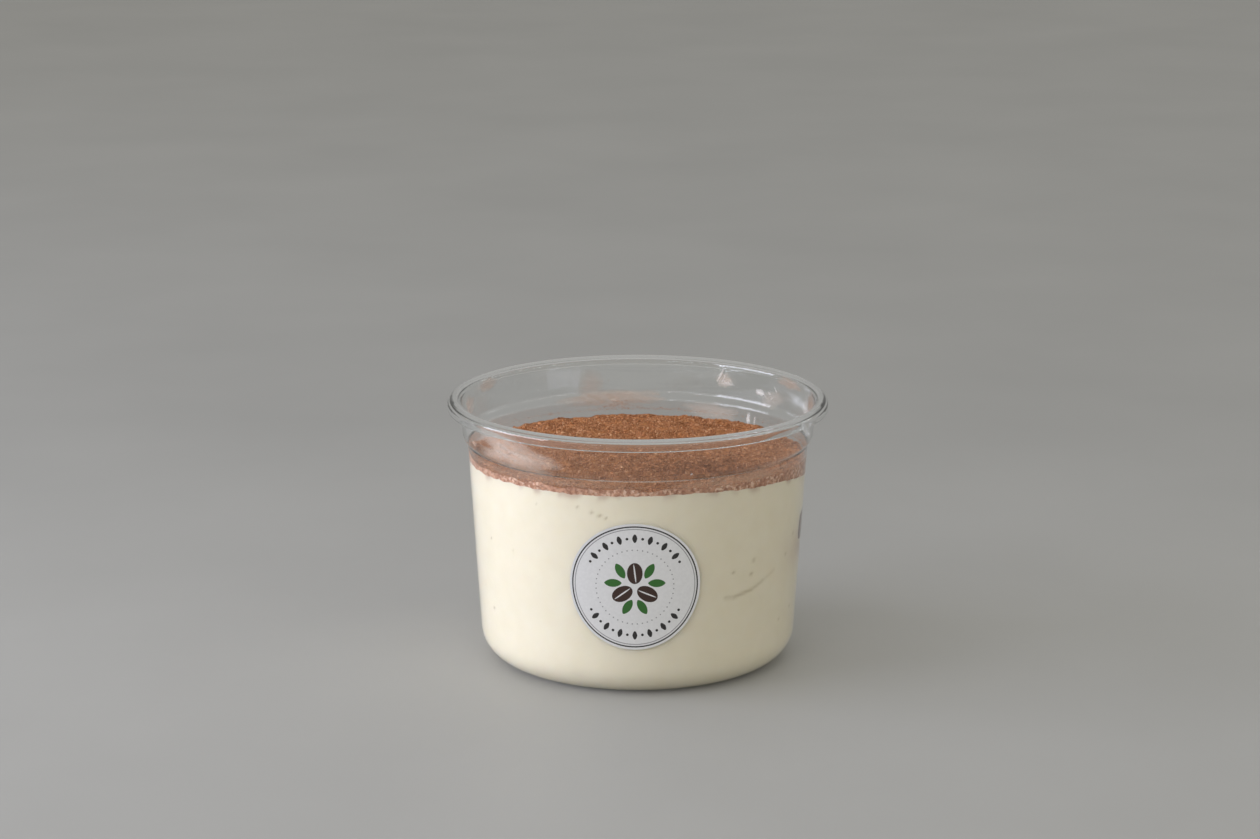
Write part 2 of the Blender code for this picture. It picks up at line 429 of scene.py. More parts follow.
def sponge_finish():
    """Sponge soaked in coffee: wet and dark, paler in its pores."""
    finish = Finish("soaked_sponge", (0.12, 0.055, 0.03), 0.5)
    crumb = finish.spread(finish.noise(1.6 * MM, detail=3.0), 0.35, 0.65)
    finish.colour(finish.mix(crumb, (0.06, 0.028, 0.016), (0.24, 0.12, 0.065)))
    finish.roughness(1 * MM, 0.4, 0.75)
    finish.relief(finish.cells(1.2 * MM), 0.3 * MM, 0.7)
    return finish.material


def film_finish(name, light, dark, solidity):
    """Cream or cocoa wiped thinly on the plastic. It thins out in streaks, and towards its edge."""
    finish = Finish(name, light, 0.4)
    finish.colour(finish.mix(finish.spread(finish.noise(1 * MM), 0.35, 0.65), light, dark))
    finish.roughness(0.8 * MM, 0.3, 0.55)
    finish.relief(finish.noise(0.7 * MM), 0.08 * MM, 0.6)
    streaks = finish.streaks(1.1 * MM, math.radians(20))
    solid = finish.spread(streaks, 0.3, 0.65, 0.45 * solidity, solidity)
    alpha = finish.times(solid, finish.attribute("film"))
    finish.links.new(alpha, finish.shader.inputs["Alpha"])
    return finish.material


PRINT_MOTTLE = 0.93


def printed(name, colour, roughness=0.4):
    """Coated paper or the ink on it, with a faint tooth."""
    finish = Finish(name, colour, roughness)
    shade = tuple(PRINT_MOTTLE * part for part in colour)
    mottle = finish.spread(finish.noise(0.9 * MM, detail=5.0), *NOISE_RANGE)
    finish.colour(finish.mix(mottle, colour, shade))
    finish.roughness(0.6 * MM, roughness - 0.06, roughness + 0.08)
    finish.relief(finish.noise(0.25 * MM), 0.01 * MM, 0.4)
    return finish.material


TUB_ARC_STEPS = 8


def make_tub():
    """The shell, as one closed profile turned round the axis: outside, lip, inside."""
    roll = (RIM_RADIUS - MOUTH_RADIUS + SHELL) / 2
    foot_height = STEP_FOOT_HEIGHT + STEP_TUCK
    top_height = STEP_TOP_HEIGHT - STEP_TUCK
    corners = [
        (0, 0, 0),
        (WALL_LINE_FOOT, 0, HEEL_RADIUS),
        (STEP_FOOT_RADIUS, foot_height, STEP_FOOT_ROUNDING - SHELL / 2),
        (STEP_TOP_RADIUS, top_height, STEP_TOP_ROUNDING + SHELL / 2),
        (MOUTH_RADIUS, GROOVE_TOP, GROOVE_ROUNDING),
        (RIM_RADIUS - SKIRT_THICKNESS, GROOVE_TOP, GROOVE_ROUNDING),
        (RIM_RADIUS - SKIRT_THICKNESS, SKIRT_BOTTOM, EDGE_ROUNDING),
        (RIM_RADIUS, SKIRT_BOTTOM, EDGE_ROUNDING),
        (RIM_RADIUS, TUB_HEIGHT, roll - LAYER_STEP),
        (MOUTH_RADIUS - SHELL, TUB_HEIGHT, roll - LAYER_STEP),
        (STEP_TOP_RADIUS - SHELL, top_height, STEP_TOP_ROUNDING - SHELL / 2),
        (STEP_FOOT_RADIUS - SHELL, foot_height, STEP_FOOT_ROUNDING + SHELL / 2),
        (WALL_LINE_FOOT - SHELL + WALL_SLOPE * SHELL, SHELL, HEEL_RADIUS - SHELL),
        (0, SHELL, 0),
    ]
    angles = np.arange(TUB_SIDES) * math.tau / TUB_SIDES
    rings = []
    for radius, height in rounded(corners, TUB_ARC_STEPS):
        rings.append(around(angles if radius else np.zeros(1), radius, height))
    points, faces = skin(rings)
    tub = piece("tub_shell", points, faces, [clear_plastic()], crease=60)
    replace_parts(tub, "tub")


# Waves of the cream's top along the wall: (height, how many go round, where they start).
CREAM_RIPPLES = [(0.25 * MM, 3, 1), (0.15 * MM, 7, 0)]


def cream_level(angle, reach):
    """Height of the cream's top. At the wall it rises in front, falls behind and dips at one side."""
    ripple = sum(height * np.sin(waves * angle + start) for height, waves, start in CREAM_RIPPLES)
    fall = CREAM_FALL * ((1 - np.cos(angle)) / 2) ** 2
    dip = CREAM_DIP * bump(turn_between(angle, CREAM_DIP_AT), CREAM_DIP_WIDTH)
    return CREAM_HEIGHT + (CREAM_RISE + ripple - fall - dip) * reach**2


def cocoa_level(points):
    """Height of the cocoa's rough top, which climbs the wall at one side."""
    radius = np.hypot(points[:, 0], points[:, 1])
    angle = np.arctan2(points[:, 0], -points[:, 1])
    flat = points * (1, 1, 0)
    crags = CRAG_HEIGHT * rough(flat, CRAG_SPACING) / NOISE_GAIN
    cling = CLING_HEIGHT * bump(turn_between(angle, CLING_AT), CLING_WIDTH)
    climb = cling * bump(FOOD_RADIUS - radius, CLING_REACH)
    return COCOA_HEIGHT - COCOA_TILT * points[:, 1] / FOOD_RADIUS + crags + climb


# Flecks in the cream at the wall, each (angle in degrees, height and size in millimetres).
FLECKS = [
    (-47.9, 41.7, 0.5),
    (-20.2, 59.3, 0.6),
    (-15.4, 58.2, 0.7),
    (-12.7, 57.3, 0.8),
    (-10.7, 56.6, 0.5),
    (36.8, 29.5, 0.6),
    (40.6, 30.0, 0.7),
    (-35.8, 58.8, 0.4),
    (34.5, 37.3, 0.7),
    (42.6, 35.5, 0.9),
    (43.4, 39.7, 0.8),
    (85.9, 21.4, 1.0),
]
# A thin line where two spoonfuls of cream meet, by the same measures.
SEAM = [(31.5, 29.6), (35.1, 29.3), (38.1, 29.8), (43.3, 30.5), (48.8, 32.3), (55.0, 34.4)]
SEAM_WIDTH = 0.55
SEAM_STRENGTH = 0.4
SEAM_FAINTEST = 0.12
SEAM_DARKEST_AT = 38
SEAM_DARK_WIDTH = 8
FLECK_STRENGTH = 0.6
FLECK_BREADTH = 1.3
FLECK_SOFTNESS = 0.8
FLECK_DEPTH = 0.35 * MM
# More flecks at the sides and behind, each within these angles, heights and sizes.
STRAY_FLECKS = 46
STRAY_RANGES = [(60, 300), (8, 60), (0.3, 0.8)]
STRAY_SEED = 7


def fleck_marks(angle, height):
    """How dark each point of the cream's side is, from its flecks and its seam."""
    dark = np.zeros(len(angle))
    draws = np.random.default_rng(STRAY_SEED)
    strays = np.stack([draws.uniform(low, high, STRAY_FLECKS) for low, high in STRAY_RANGES], axis=1)
    for at, level, size in [*FLECKS, *strays.tolist()]:
        across = turn_between(angle, math.radians(at)) * wall_radius(level * MM)
        away = np.hypot(across, (height - level * MM) * FLECK_BREADTH)
        dark = np.maximum(dark, FLECK_STRENGTH * bump(away, size * MM * FLECK_SOFTNESS))
    for (at, level), (to, to_level) in zip(SEAM, SEAM[1:]):
        run = math.radians(to - at) * wall_radius(level * MM)
        rise = (to_level - level) * MM
        across = turn_between(angle, math.radians(at)) * wall_radius(level * MM)
        up = height - level * MM
        along = np.clip((across * run + up * rise) / (run**2 + rise**2), 0, 1)
        away = np.hypot(across - along * run, up - along * rise)
        strength = SEAM_STRENGTH * bump(at - SEAM_DARKEST_AT, SEAM_DARK_WIDTH) + SEAM_FAINTEST
        dark = np.maximum(dark, strength * bump(away, SEAM_WIDTH * MM))
    return dark


SPONGE_BLUSH = 0.55
SPONGE_BLUSH_WIDTH = math.radians(17)
SPONGE_BLUSH_DEPTH = 6 * MM
SPONGE_BLUSH_DROP = 1 * MM
COCOA_BLUSH = 0.5
COCOA_BLUSH_DEPTH = 1.3 * MM
COCOA_BLUSH_SPACING = 4 * MM
COCOA_BLUSH_GAIN = 1.4
COCOA_BLUSH_CUT = 0.1


def blush_marks(angle, height, level, points):
    """How brown the cream's side is: by the sponge's end, and just under the cocoa in places."""
    heading = turn_between(angle, FINGER_HEADING)
    drop = height - FINGER_BOTTOM + SPONGE_BLUSH_DROP
    sponge = SPONGE_BLUSH * bump(heading, SPONGE_BLUSH_WIDTH) * bump(drop, SPONGE_BLUSH_DEPTH)
    patches = rough(points, COCOA_BLUSH_SPACING, seed=3) * COCOA_BLUSH_GAIN - COCOA_BLUSH_CUT
    places = np.clip(patches, 0, 1)
    under = bump(level - height, COCOA_BLUSH_DEPTH) * places * COCOA_BLUSH
    return np.clip(sponge + under, 0, 1)


# The cream's edge against the cocoa, by (height, spacing, seed) of its bumps.
CREAM_EDGE_BUMPS = [(0.22 * MM, 2.4 * MM, 1), (0.12 * MM, 0.9 * MM, 2)]
CREAM_SIDE_RINGS = 72
CREAM_TOP_REACHES = (0.97, 0.8, 0.55, 0.3)
HEEL_LINE_END = 30 * MM
HEEL_STEPS = 10


def make_cream():
    """The filling, from the base up to its edge at the wall, with a pocket where the sponge lies."""
    angles = np.arange(FOOD_SIDES) * math.tau / FOOD_SIDES
    base = SHELL - BITE
    inner_heel = HEEL_RADIUS - SHELL + BITE
    foot = WALL_LINE_FOOT - SHELL + BITE
    line_end = (foot + WALL_SLOPE * HEEL_LINE_END, HEEL_LINE_END, 0)
    heel = rounded([(0, base, 0), (foot, base, inner_heel), line_end], HEEL_STEPS)
    rings = [around(np.zeros(1), 0, base)]
    rings += [around(angles, radius, height) for radius, height in heel[1:-1]]
    start = heel[-2][1]
    edge = around(angles, FOOD_RADIUS, 0)
    jagged = sum(bumps * rough(edge, spacing, seed) for bumps, spacing, seed in CREAM_EDGE_BUMPS)
    level = cream_level(angles, 1.0) + jagged
    for share in np.linspace(0, 1, CREAM_SIDE_RINGS)[1:]:
        height = start + (level - start) * share
        rings.append(around(angles, wall_radius(height) - SHELL + BITE, height))
    for reach in CREAM_TOP_REACHES:
        radius = (wall_radius(CREAM_HEIGHT) - SHELL) * reach
        rings.append(around(angles, radius, cream_level(angles, reach)))
    rings.append(around(np.zeros(1), 0, CREAM_HEIGHT))
    points, faces = skin(rings)
    angle = np.arctan2(points[:, 0], -points[:, 1])
    side = np.hypot(points[:, 0], points[:, 1]) > foot - inner_heel
    top = np.interp(angle % math.tau, angles, level, period=math.tau)
    fleck = fleck_marks(angle, points[:, 2]) * side
    inward = (FLECK_DEPTH * fleck)[:, None] * around(angle, 1.0, 0.0)
    cream = piece("cream_fill", points - inward, faces, [cream_finish()], crease=60)
    mark(cream, "fleck", fleck)
    mark(cream, "blush", blush_marks(angle, points[:, 2], top, points) * side)
    cut_pocket(cream)
    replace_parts(cream, "cream")


def cut_pocket(cream):
    """Takes the room of the sponge finger out of the cream."""
    cut = cream.modifiers.new("sponge_pocket", "BOOLEAN")
    cut.operation = "DIFFERENCE"
    cut.object = finger("sponge_pocket", POCKET_MARGIN, 12, None, [sponge_finish()])
    with bpy.context.temp_override(object=cream, active_object=cream):
        bpy.ops.object.modifier_apply(modifier=cut.name)
    bpy.data.objects.remove(bpy.data.objects["sponge_pocket"], do_unlink=True)


def arc(centre, radius, start, end, steps):
    """Flat points on an arc between two angles in degrees."""
    turns = np.radians(np.linspace(start, end, steps + 1))
    return [(centre + radius * math.cos(turn), radius * math.sin(turn)) for turn in turns]


# The finger's section is drawn this wide, and its corners' arcs tell how far each ring is inset.
SECTION_WIDTH = 10 * MM
SECTION_STEPS = 4
# The pocket is a little smaller than the finger, so that the two overlap.
POCKET_MARGIN = -0.05 * MM


def finger(name, margin, steps, press, materials):
    """A finger with round ends and soft edges. Its far end is pressed to the wall, or runs free.

    The near end's arc has twice this many steps, and the far end's has five times as many.
    """
    half_width = FINGER_WIDTH / 2 + margin
    run = FINGER_LENGTH / 2 - FINGER_WIDTH / 2
    tip = wall_radius(FINGER_BOTTOM) - SHELL - FOOD_GAP + FINGER_PRESS
    middle = tip - FINGER_LENGTH / 2
    low = FINGER_BOTTOM - margin
    high = FINGER_BOTTOM + FINGER_DEPTH + margin
    corners = [
        (0, low, 0),
        (SECTION_WIDTH, low, FINGER_ROUNDING),
        (SECTION_WIDTH, high, FINGER_ROUNDING),
        (0, high, 0),
    ]
    section = rounded(corners, SECTION_STEPS)[1:-1]
    if press is not None:
        # The pressed end bends with the wall, so its side has five more rings.
        half = len(section) // 2
        side = [(SECTION_WIDTH, height) for height in np.linspace(low, high, 9)[2:7]]
        section = section[:half] + side + section[half:]
    rings = []
    for out, height in section:
        end_radius = half_width - (SECTION_WIDTH - out)
        outline = arc(run, end_radius, -90, 90, 5 * steps)
        outline += arc(-run, end_radius, 90, 270, 2 * steps)
        flat = np.array(outline)
        radius = np.hypot(middle + flat[:, 0], flat[:, 1])
        angle = FINGER_HEADING + np.arctan2(flat[:, 1], middle + flat[:, 0])
        if press is not None:
            radius = np.minimum(radius, press(height))
        rings.append(around(angle, radius, height))
    rings = [rings[0].mean(axis=0, keepdims=True), *rings, rings[-1].mean(axis=0, keepdims=True)]
    points, faces = skin(rings)
    return piece(name, points, faces, materials)


def make_sponge():
    """The finger, pressed to the wall and just into it."""

    def wall(height):
        return wall_radius(height) - SHELL + BITE + LAYER_STEP

    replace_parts(finger("sponge_finger", 0, 12, wall, [sponge_finish()]), "sponge")


def darkening(points):
    """How much darker the cocoa is at each point, in a broad patch on its top and a little towards the
    front.
    """
    away = np.hypot(points[:, 0] - DARK_PATCH[0], (points[:, 1] - DARK_PATCH[1]) * DARK_PATCH_SQUEEZE)
    uneven = 1 + DARK_PATCH_UNEVENNESS * rough(points * (1, 1, 0), DARK_PATCH_SPACING, seed=9)
    patch = DARK_PATCH_STRENGTH * bump(away, DARK_PATCH_REACH) * uneven
    front = DARKER_TOWARDS_FRONT * (1 - points[:, 1] / FOOD_RADIUS)
    return np.clip(patch + front, 0, 1)


# Where more cream is worked into the pressed cocoa: (angle, its width in degrees, how much more).
CREAMY_STRETCHES = [(36, 22, 1.1), (-50, 16, 0.6)]
CREAMY = 0.35
CREAMY_UNEVENNESS = 0.5
CREAMY_SPACING = 6 * MM
MOST_CREAMY = 0.95

# The cocoa's lumps are finer than the crags of its solid.
PEBBLE_HEIGHT = 0.42 * MM
PEBBLE_SPACING = 1.5 * MM
PEBBLE_MIDDLE = 0.6
GRIT_HEIGHT = 0.2 * MM
GRIT_SPACING = 0.8 * MM
COCOA_EDGE_HEIGHT = 0.25 * MM
COCOA_EDGE_SPACING = 1.6 * MM
COCOA_SINK = 0.2 * MM
COCOA_EDGE_SINK = 0.5 * MM
COCOA_UNDERSIDE_REACHES = (0.3, 0.6, 0.9)
COCOA_SIDE_RINGS = 9
COCOA_TOP_RINGS = 110


def make_cocoa():
    """The layer, with a rough top, and a side that reaches into the wall."""
    angles = np.arange(FOOD_SIDES) * math.tau / FOOD_SIDES
    edge = around(angles, FOOD_RADIUS, 0)
    under_edge = cream_level(angles, 1.0) - COCOA_EDGE_SINK
    rings = [around(np.zeros(1), 0, CREAM_HEIGHT - COCOA_SINK)]
    for reach in COCOA_UNDERSIDE_REACHES:
        rings.append(around(angles, FOOD_RADIUS * reach, cream_level(angles, reach) - COCOA_SINK))
    top_edge = cocoa_level(edge) + COCOA_EDGE_HEIGHT * rough(edge, COCOA_EDGE_SPACING, seed=4)
    for share in np.linspace(0, 1, COCOA_SIDE_RINGS):
        height = under_edge + (top_edge - under_edge) * share
        rings.append(around(angles, wall_radius(height) - SHELL + BITE - LAYER_STEP, height))
    side_rings = len(rings)
    for reach in np.linspace(1, 0, COCOA_TOP_RINGS)[1:-1]:
        plan = around(angles, FOOD_RADIUS * reach, 0)
        lumps = PEBBLE_HEIGHT * (pebbly(plan, PEBBLE_SPACING) - PEBBLE_MIDDLE)
        lumps += GRIT_HEIGHT * rough(plan, GRIT_SPACING, seed=5)
        rings.append(plan + np.stack([0 * lumps, 0 * lumps, cocoa_level(plan) + lumps], axis=1))
    rings.append(around(np.zeros(1), 0, cocoa_level(np.zeros((1, 3)))[0]))
    points, faces = skin(rings)
    finishes = [loose_cocoa(), pressed_cocoa()]
    cocoa = piece("cocoa_layer", points, faces, finishes, crease=70)
    sides = np.zeros(len(faces), np.int32)
    sides[FOOD_SIDES : (side_rings - 1) * FOOD_SIDES] = 1
    cocoa.data.polygons.foreach_set("material_index", sides)
    angle = np.arctan2(points[:, 0], -points[:, 1])
    creamy = CREAMY + CREAMY_UNEVENNESS * rough(points, CREAMY_SPACING, seed=8)
    for at, width, more in CREAMY_STRETCHES:
        creamy += more * bump(turn_between(angle, math.radians(at)), math.radians(width))
    mark(cocoa, "creamy", np.clip(creamy, 0, MOST_CREAMY))
    mark(cocoa, "darkened", darkening(points))
    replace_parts(cocoa, "cocoa")


def ball(subdivisions):
    """Points and faces of a small round solid of unit radius."""
    bm = bmesh.new()
    bmesh.ops.create_icosphere(bm, subdivisions=subdivisions, radius=1)
    points = np.array([vertex.co for vertex in bm.verts])
    faces = np.array([[vertex.index for vertex in face.verts] for face in bm.faces])
    bm.free()
    return points, faces


CLUMP_SQUASH = (0.7, 1.15)
CLUMP_JITTER = (0.78, 1.18)
CLUMP_FLATTENING = 0.6


def scatter(name, places, sizes, finish, draws, subdivisions, flat_on=None):
    """Uneven clumps at these places, joined in one mesh, each with a shade of its own.

    Where flat_on gives a direction for each clump, the clump is flattened along it.
    """
    shape, faces = ball(subdivisions)
    count = len(places)
    turns = np.linalg.qr(draws.normal(size=(count, 3, 3)))[0]
    squash = draws.uniform(*CLUMP_SQUASH, (count, 1, 3))
    jitter = draws.uniform(*CLUMP_JITTER, (count, len(shape), 1))
    clumps = np.einsum("nij,nkj->nki", turns, shape[None] * squash * jitter) * sizes[:, None, None]
    if flat_on is not None:
        depth = np.einsum("nkj,nj->nk", clumps, flat_on)
        clumps -= CLUMP_FLATTENING * depth[..., None] * flat_on[:, None]
    points = (clumps + places[:, None]).reshape(-1, 3)
    joined = (faces[None] + np.arange(count)[:, None, None] * len(shape)).reshape(-1, 3)
    made = piece(name, points, joined.tolist(), [finish])
    mark(made, "shade", np.repeat(draws.uniform(0, 1, count), len(shape)))
    mark(made, "darkened", np.repeat(darkening(places), len(shape)))


# The clumps on top: (piece, count, smallest and largest radius in millimetres, seed, subdivisions).
CLUMPS = [
    ("cocoa_grains", 9600, 0.13, 0.27, 11, 1),
    ("cocoa_crumbs", 5200, 0.22, 0.40, 13, 1),
    ("cocoa_clumps", 220, 0.40, 0.66, 12, 2),
]
CLUMP_MARGIN = 0.5 * MM
CLUMP_LIFT = 0.15


def make_grains():
    """Clumps of cocoa all over the top, most of them small, with a few coarse ones between."""
    finish = grain_finish()
    for name, count, low, high, seed, subdivisions in CLUMPS:
        draws = np.random.default_rng(seed)
        radius = (FOOD_RADIUS - CLUMP_MARGIN) * np.sqrt(draws.uniform(0, 1, count))
        plan = around(draws.uniform(0, math.tau, count), radius, 0.0)
        sizes = draws.uniform(low, high, count) * MM
        lift = cocoa_level(plan) + CLUMP_LIFT * sizes
        places = plan + np.stack([0 * radius, 0 * radius, lift], axis=1)
        scatter(name, places, sizes, finish, draws, subdivisions)


# Where dust clings to the plastic over the cocoa: (angle, its width, height, its depth, count),
# in degrees and millimetres. The sizes of its specks are in millimetres too.
DUST = [
    (-88, 14, 66.0, 1.6, 1500),
    (-58, 5, 73.4, 1.0, 900),
    (187, 9, 66.4, 1.5, 420),
    (180, 40, 65.1, 0.5, 500),
    (90, 26, 65.4, 1.3, 900),
    (0, 180, 65.2, 0.7, 1600),
    (-162, 5, 70.0, 2.4, 40),
    (180, 30, 70.0, 2.6, 60),
]
DUST_SEED = 21
DUST_SPECKS = (0.04, 0.12)
DUST_TOP = 81.2 * MM


def make_dust():
    """Fine cocoa on the inside of the neck and the step, thinning out upwards."""
    draws = np.random.default_rng(DUST_SEED)
    places, normals = [], []
    for at, width, level, depth, count in DUST:
        angle = np.radians(at + draws.normal(0, 0.5, count) * width)
        above = level + np.abs(draws.normal(0, 1, count)) * depth - 0.5 * depth
        height = np.clip(above * MM, 0, DUST_TOP)
        places.append(around(angle, inner_radius(height) - LAYER_STEP, height))
        normals.append(around(angle, 1.0, 0.0))
    places = np.concatenate(places)
    sizes = draws.uniform(*DUST_SPECKS, len(places)) * MM
    scatter("cocoa_dust", places, sizes, grain_finish(), draws, 1, flat_on=np.concatenate(normals))


# Wipes and films on the inside of the wall: (angle, height, half width, half height, lean, strength),
# in degrees and millimetres.
SMEARS = [
    (150.2, 77.4, 0.45, 3.3, 27, 1.0),
    (148.7, 76.8, 0.26, 2.2, 24, 0.8),
    (148.0, 74.9, 3.0, 1.1, 0, 0.6),
    (133.0, 74.0, 2.4, 1.1, 4, 1.0),
    (128.6, 74.4, 1.1, 0.35, 30, 0.9),
    (125.6, 76.2, 1.5, 0.22, 48, 0.7),
    (127.2, 73.0, 1.3, 0.24, -40, 0.7),
    (136.6, 65.4, 0.9, 2.2, 0, 1.0),
    (133.6, 65.0, 0.4, 1.5, 6, 0.8),
    (17.0, 70.2, 0.5, 0.4, 0, 0.6),
    (25.0, 67.0, 0.5, 0.22, 10, 0.5),
    (29.5, 66.6, 0.7, 0.26, -8, 0.55),
    (35.0, 66.9, 0.45, 0.2, 14, 0.5),
]
CREAM_HAZE_AND_PAINTED_GLINT = [
    (148.6, 75.8, 3.3, 2.6, 0, 0.9),
    (152, 65.6, 11, 3.2, 0, 0.5),
    (127, 72.4, 6.0, 3.0, -20, 0.45),
    (100, 74.0, 7.0, 4.6, 0, 0.35),
    (-46, 73.2, 19.0, 5.6, -5, 0.95),
    # Painted highlight: a thin pale band along the front at the step's foot, standing in for a glint in
    # the plastic.
    (-1, 68.1, 64.0, 0.34, 0, 1.0),
]
COCOA_HAZE = [
    (-119, 79.0, 6.0, 2.3, 0, 0.8),
    (-104, 75.6, 5.0, 3.6, 0, 0.6),
    (118, 79.4, 8.0, 1.8, 0, 0.8),
    (96, 77.0, 5.5, 4.2, 0, 0.8),
    (188, 68.6, 20.0, 2.4, 0, 0.9),
    (197, 72.6, 5.0, 5.4, 0, 0.5),
    (-34, 66.4, 36.0, 1.5, 0, 0.8),
    (-66.5, 72.1, 2.0, 0.9, 0, 2.8),
    (36, 66.2, 26.0, 1.7, 0, 1.5),
]
SMEAR_THICKNESS = 0.14 * MM
HAZE_THICKNESS = 0.03 * MM
PAD_SIDES = 64
PAD_BACK_REACHES = (0.0, 0.35, 0.6, 0.8, 0.92, 1.0)
PAD_FRONT_REACHES = (0.92, 0.8, 0.6, 0.35, 0.0)
PAD_RAGGEDNESS = 0.22
PAD_RAGGED_SPACING = 0.5
PAD_SEED_STEP = 5.0


def make_pads(name, spots, finish, thickness):
    """Thin pads with ragged outlines on the wall's inside, which keep how solid each point is."""
    back = [(reach, 0.0) for reach in PAD_BACK_REACHES]
    front = [(reach, 1 - reach**4) for reach in PAD_FRONT_REACHES]
    pads, faces, films, count = [], [], [], 0
    for number, (at, level, half_width, half_height, lean, strength) in enumerate(spots):
        cos, sin = math.cos(math.radians(lean)), math.sin(math.radians(lean))
        rings = []
        for reach, height in back + front:
            turn = np.arange(PAD_SIDES) * math.tau / PAD_SIDES if reach else np.zeros(1)
            circle = around(turn, 1.0, number * PAD_SEED_STEP)
            ragged = reach * (1 + PAD_RAGGEDNESS * rough(circle, PAD_RAGGED_SPACING, seed=6))
            across = half_width * ragged * np.cos(turn)
            up = half_height * ragged * np.sin(turn)
            across, up = across * cos - up * sin, across * sin + up * cos
            height_here = (level + up) * MM
            inside = inner_radius(height_here) - LAYER_STEP - height * thickness
            rings.append(around(math.radians(at) + across * MM / inside, inside, height_here))
            films.append(np.full(len(turn), strength * (1 - reach**2)))
        points, pad_faces = skin(rings)
        pads.append(points)
        faces += [[corner + count for corner in face] for face in pad_faces]
        count += len(points)
    made = piece(name, np.concatenate(pads), faces, [finish])
    mark(made, "film", np.concatenate(films))


def make_films():
    """Wipes of cream, a veil of cream with a painted highlight line along the step, and a veil of
    cocoa.
    """
    cream_wipe = film_finish("cream_wipe", (0.88, 0.88, 0.86), (0.80, 0.79, 0.76), 0.66)
    cream_film_and_painted_glint = film_finish("cream_film_and_painted_glint", (0.84, 0.72, 0.62), (0.76, 0.62, 0.51), 0.37)
    cocoa_film = film_finish("cocoa_film", (0.64, 0.40, 0.27), (0.54, 0.32, 0.20), 0.28)
    make_pads("cream_smears", SMEARS, cream_wipe, SMEAR_THICKNESS)
    make_pads("cream_haze_and_painted_glint", CREAM_HAZE_AND_PAINTED_GLINT, cream_film_and_painted_glint, HAZE_THICKNESS)
    make_pads("cocoa_haze", COCOA_HAZE, cocoa_film, HAZE_THICKNESS)


def disc(centre, half_width, half_height, sides, lean=0.0, power=1.0):
    """A closed outline on the sticker: an ellipse, or with a power under 1 a leaf with pointed ends."""
    turn = np.arange(sides) * math.tau / sides
    across = half_width * np.cos(turn)
    up = half_height * np.sign(np.sin(turn)) * np.abs(np.sin(turn)) ** (1 / power)
    cos, sin = math.cos(lean), math.sin(lean)
    return np.stack([centre[0] + across * cos - up * sin, centre[1] + across * sin + up * cos], axis=1)


PAPER, DARK_INK, GREY_INK, BEAN_INK, LEAF_INK = range(5)
CIRCLE_SIDES = 150
# The rings near the edge, each (radius, width, ink).
BORDERS = [(19.05 * MM, 0.42 * MM, DARK_INK), (18.2 * MM, 0.26 * MM, GREY_INK)]
# Diamonds with dots between, along an arc at the top and one at the bottom.
ORNAMENT_RADIUS = 15.2 * MM
ORNAMENT_SPACING = math.radians(8.6)
ORNAMENT_STEPS = range(-7, 8)
ORNAMENT_DOT = 0.42 * MM
DIAMOND_SIZE = (0.75 * MM, 1.35 * MM)
DOT_RING_RADIUS = 11.6 * MM
DOT_RING_COUNT = 48
DOT_RING_DOT = 0.22 * MM
# Three beans in the middle, with a pair of leaves between each two.
BEAN_COUNT = 3
BEAN_RING_RADIUS = 4.3 * MM
BEAN_SIZE = (2.3 * MM, 3.3 * MM)
CREASE_SIZE = (0.22 * MM, 2.9 * MM)
CREASE_LEAN = 0.12
LEAF_RING_RADIUS = 6.6 * MM
LEAF_SIZE = (2.6 * MM, 1.25 * MM)
LEAF_OFFSET = 0.34
LEAF_SPLAY = 1.6


def on_ring(radius, turn):
    """A place on the sticker, at this angle from its top."""
    return (radius * math.sin(turn), radius * math.cos(turn))


def sticker_design():
    """The printed fields in the order they are laid, each (ink, outline)."""
    fields = []
    for radius, width, ink in BORDERS:
        fields.append((ink, disc((0, 0), radius, radius, CIRCLE_SIDES)))
        fields.append((PAPER, disc((0, 0), radius - width, radius - width, CIRCLE_SIDES)))
    for middle in (0, math.pi):
        for step in ORNAMENT_STEPS:
            turn = middle + ORNAMENT_SPACING * step
            place = on_ring(ORNAMENT_RADIUS, turn)
            if step % 2:
                fields.append((DARK_INK, disc(place, ORNAMENT_DOT, ORNAMENT_DOT, 12)))
            else:
                fields.append((DARK_INK, disc(place, *DIAMOND_SIZE, 20, -turn, power=0.6)))
    for step in range(DOT_RING_COUNT):
        place = on_ring(DOT_RING_RADIUS, math.tau * (step + 0.5) / DOT_RING_COUNT)
        fields.append((GREY_INK, disc(place, DOT_RING_DOT, DOT_RING_DOT, 8)))
    for step in range(BEAN_COUNT):
        turn = math.tau * step / BEAN_COUNT
        leaf_turn = turn + math.pi / BEAN_COUNT
        for side in (-LEAF_OFFSET, LEAF_OFFSET):
            place = on_ring(LEAF_RING_RADIUS, leaf_turn + side)
            lean = math.pi / 2 - leaf_turn - LEAF_SPLAY * side
            fields.append((LEAF_INK, disc(place, *LEAF_SIZE, 28, lean, power=0.7)))
        place = on_ring(BEAN_RING_RADIUS, turn)
        fields.append((BEAN_INK, disc(place, *BEAN_SIZE, 36, -turn)))
        fields.append((PAPER, disc(place, *CREASE_SIZE, 20, -turn + CREASE_LEAN)))
    return fields


def inside_outline(outline, places):
    """Which of the places lie inside a closed outline."""
    inside = np.zeros(len(places), bool)
    for start, end in zip(outline, np.roll(outline, -1, axis=0)):
        crosses = (start[1] > places[:, 1]) != (end[1] > places[:, 1])
        with np.errstate(divide="ignore", invalid="ignore"):
            at = start[0] + (places[:, 1] - start[1]) * (end[0] - start[0]) / (end[1] - start[1])
        inside ^= crosses & (places[:, 0] < at)
    return inside


# A grid of points, at a spacing in millimetres, keeps the faces small so that they bend.
GRID_STEPS = 12
GRID_SPACING = 1.5
GRID_MARGIN = 1 * MM


